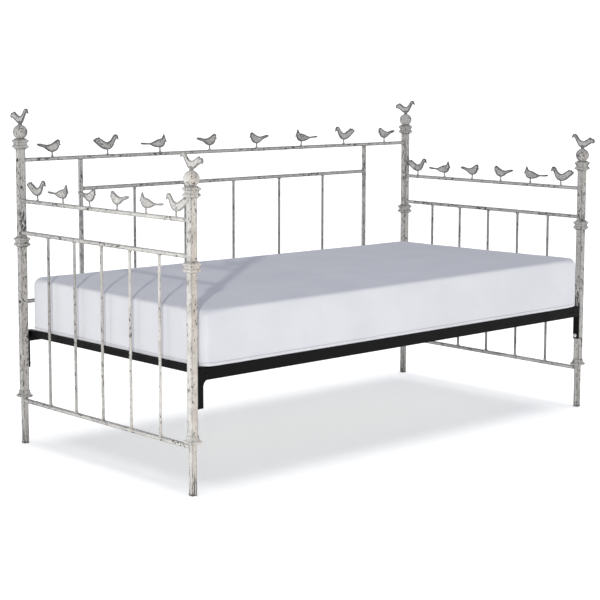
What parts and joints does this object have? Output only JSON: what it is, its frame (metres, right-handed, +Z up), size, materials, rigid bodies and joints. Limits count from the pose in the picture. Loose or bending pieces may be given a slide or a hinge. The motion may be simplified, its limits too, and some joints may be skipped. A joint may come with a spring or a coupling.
{
  "type": "daybed",
  "caption": "Metal daybed with square-tube arms and back, cut-out birds perched on the rails, ball finials, a link spring between the posts and a lift-off mattress.",
  "frame": {"origin": "on the floor, under the middle of the bed", "axes": "+X along the bed, +Y towards the side with the back, +Z up"},
  "size_m": [1.9978, 1.0548, 1.1843],
  "materials": {
    "aged_white_paint": "chalky cream-white paint, worn through to dark metal along edges and in chips, with brown-grey patina",
    "black_frame": "semi-gloss black enamel",
    "spring_wire": "oiled spring wire",
    "zinc_steel": "bright zinc",
    "dark_steel": "dark oxide",
    "glide_plastic": "moulded plastic",
    "mattress_cloth": "plain fine-woven white ticking"
  },
  "bodies": {
    "bed": {"back_birds": "aged_white_paint", "back_left_upright": "aged_white_paint", "back_low_rail": "aged_white_paint", "back_panel_screws": "dark_steel", "back_right_upright": "aged_white_paint", "back_second_rail": "aged_white_paint", "back_spindles": "aged_white_paint", "back_top_rail": "aged_white_paint", "bracket_bolts": "zinc_steel", "bracket_nuts": "zinc_steel", "cross_wires": "spring_wire", "frame_rivets": "black_frame", "front_side_rail": "black_frame", "gusset_brackets": "black_frame", "helical_springs": "spring_wire", "left_arm_birds": "aged_white_paint", "left_arm_bottom_rail": "aged_white_paint", "left_arm_second_rail": "aged_white_paint", "left_arm_spindles": "aged_white_paint", "left_arm_top_rail": "aged_white_paint", "left_end_rail": "black_frame", "left_front_ball_finial": "aged_white_paint", "left_front_finial_bird": "aged_white_paint", "left_front_foot_collar": "aged_white_paint", "left_front_leg": "aged_white_paint", "left_front_mid_collar": "aged_white_paint", "left_front_post": "aged_white_paint", "left_front_top_collar": "aged_white_paint", "left_rear_ball_finial": "aged_white_paint", "left_rear_finial_bird": "aged_white_paint", "left_rear_foot_collar": "aged_white_paint", "left_rear_leg": "aged_white_paint", "left_rear_mid_collar": "aged_white_paint", "left_rear_post": "aged_white_paint", "left_rear_top_collar": "aged_white_paint", "leg_glides": "glide_plastic", "link_wires": "spring_wire", "plain_brackets": "black_frame", "rear_side_rail": "black_frame", "right_arm_birds": "aged_white_paint", "right_arm_bottom_rail": "aged_white_paint", "right_arm_second_rail": "aged_white_paint", "right_arm_spindles": "aged_white_paint", "right_arm_top_rail": "aged_white_paint", "right_end_rail": "black_frame", "right_front_ball_finial": "aged_white_paint", "right_front_finial_bird": "aged_white_paint", "right_front_foot_collar": "aged_white_paint", "right_front_leg": "aged_white_paint", "right_front_mid_collar": "aged_white_paint", "right_front_post": "aged_white_paint", "right_front_top_collar": "aged_white_paint", "right_rear_ball_finial": "aged_white_paint", "right_rear_finial_bird": "aged_white_paint", "right_rear_foot_collar": "aged_white_paint", "right_rear_leg": "aged_white_paint", "right_rear_mid_collar": "aged_white_paint", "right_rear_post": "aged_white_paint", "right_rear_top_collar": "aged_white_paint"},
    "mattress": {"mattress": "mattress_cloth"}
  },
  "joints": [
    {"name": "mattress_lift", "type": "slide", "parent": "bed", "child": "mattress", "axis": [0, 0, 1], "range_m": [0, 0.85]}
  ]
}
